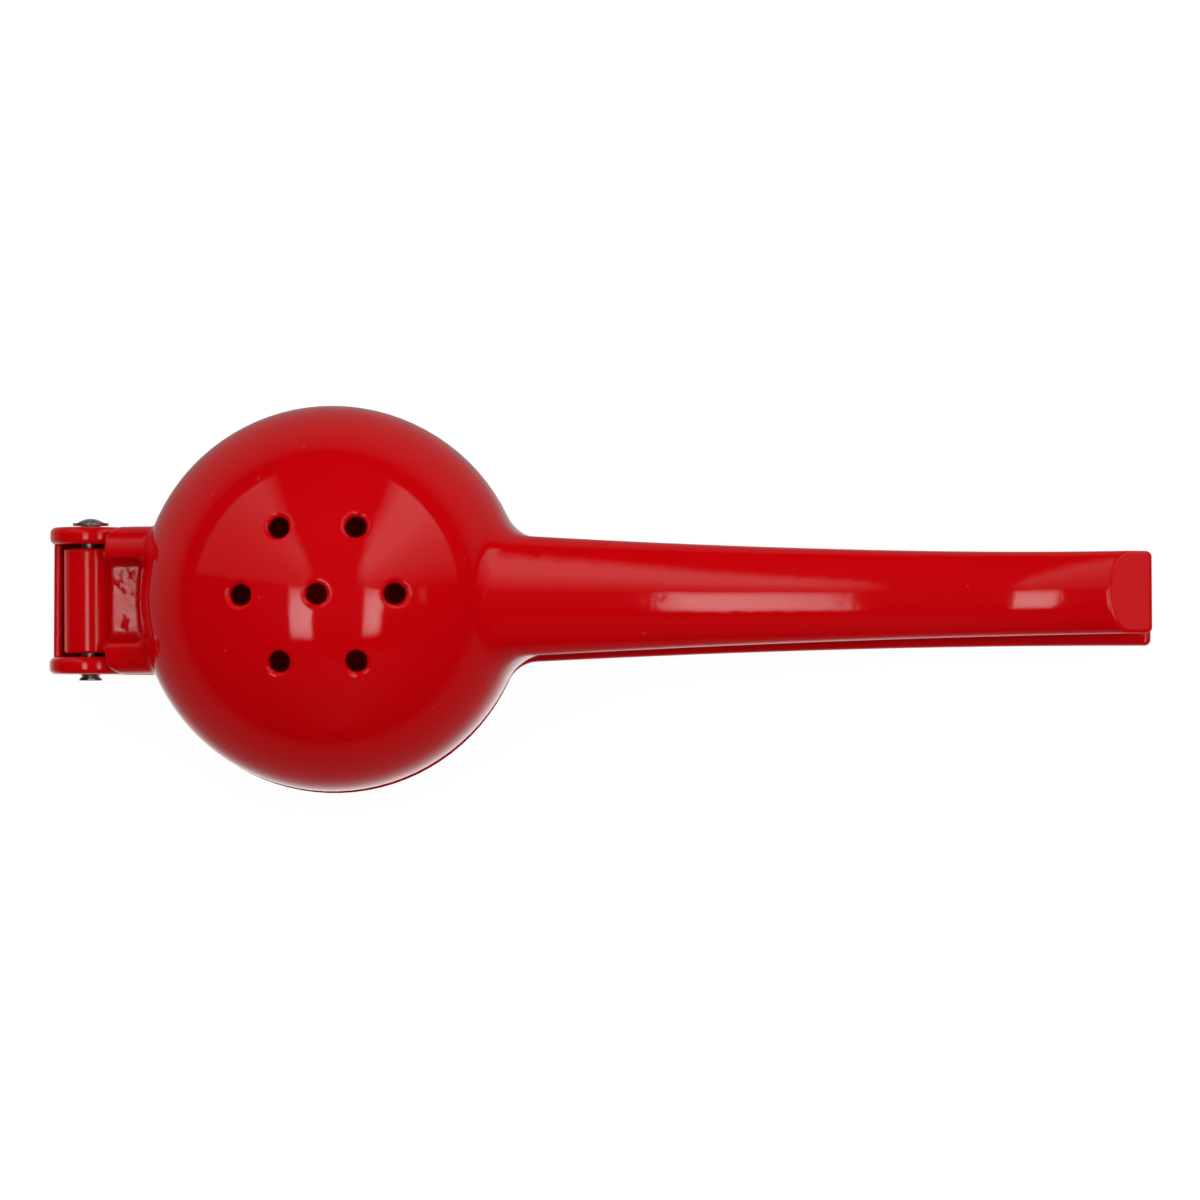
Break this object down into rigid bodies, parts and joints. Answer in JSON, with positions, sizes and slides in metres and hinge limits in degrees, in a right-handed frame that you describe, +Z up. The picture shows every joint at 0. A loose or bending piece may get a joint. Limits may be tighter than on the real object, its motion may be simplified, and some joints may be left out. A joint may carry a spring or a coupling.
{
  "type": "lemon squeezer",
  "caption": "Hand lemon squeezer: a domed press arm and a strainer bowl arm, cast and enamelled red, that fold together on one hinge rivet.",
  "frame": {"origin": "centre of the closed squeezer's box, on the table plane under it", "axes": "+X from the hinge along the handles to their tips, +Z up from the table through the bowl, +Y towards the rivet's domed head"},
  "size_m": [0.2208, 0.0774, 0.0604],
  "materials": {
    "bowl_enamel": "gloss",
    "press_enamel": "gloss",
    "rivet_steel": "satin"
  },
  "bodies": {
    "press_arm": {"press_arm": "press_enamel", "hinge_rivet": "rivet_steel"},
    "bowl_arm": {"bowl_arm": "bowl_enamel"}
  },
  "joints": [
    {"name": "squeeze_hinge", "type": "hinge", "parent": "press_arm", "child": "bowl_arm", "pos_m": [-0.10216, -0.00007, 0.015], "axis": [0, -1, 0], "range_deg": [0, 120]}
  ]
}
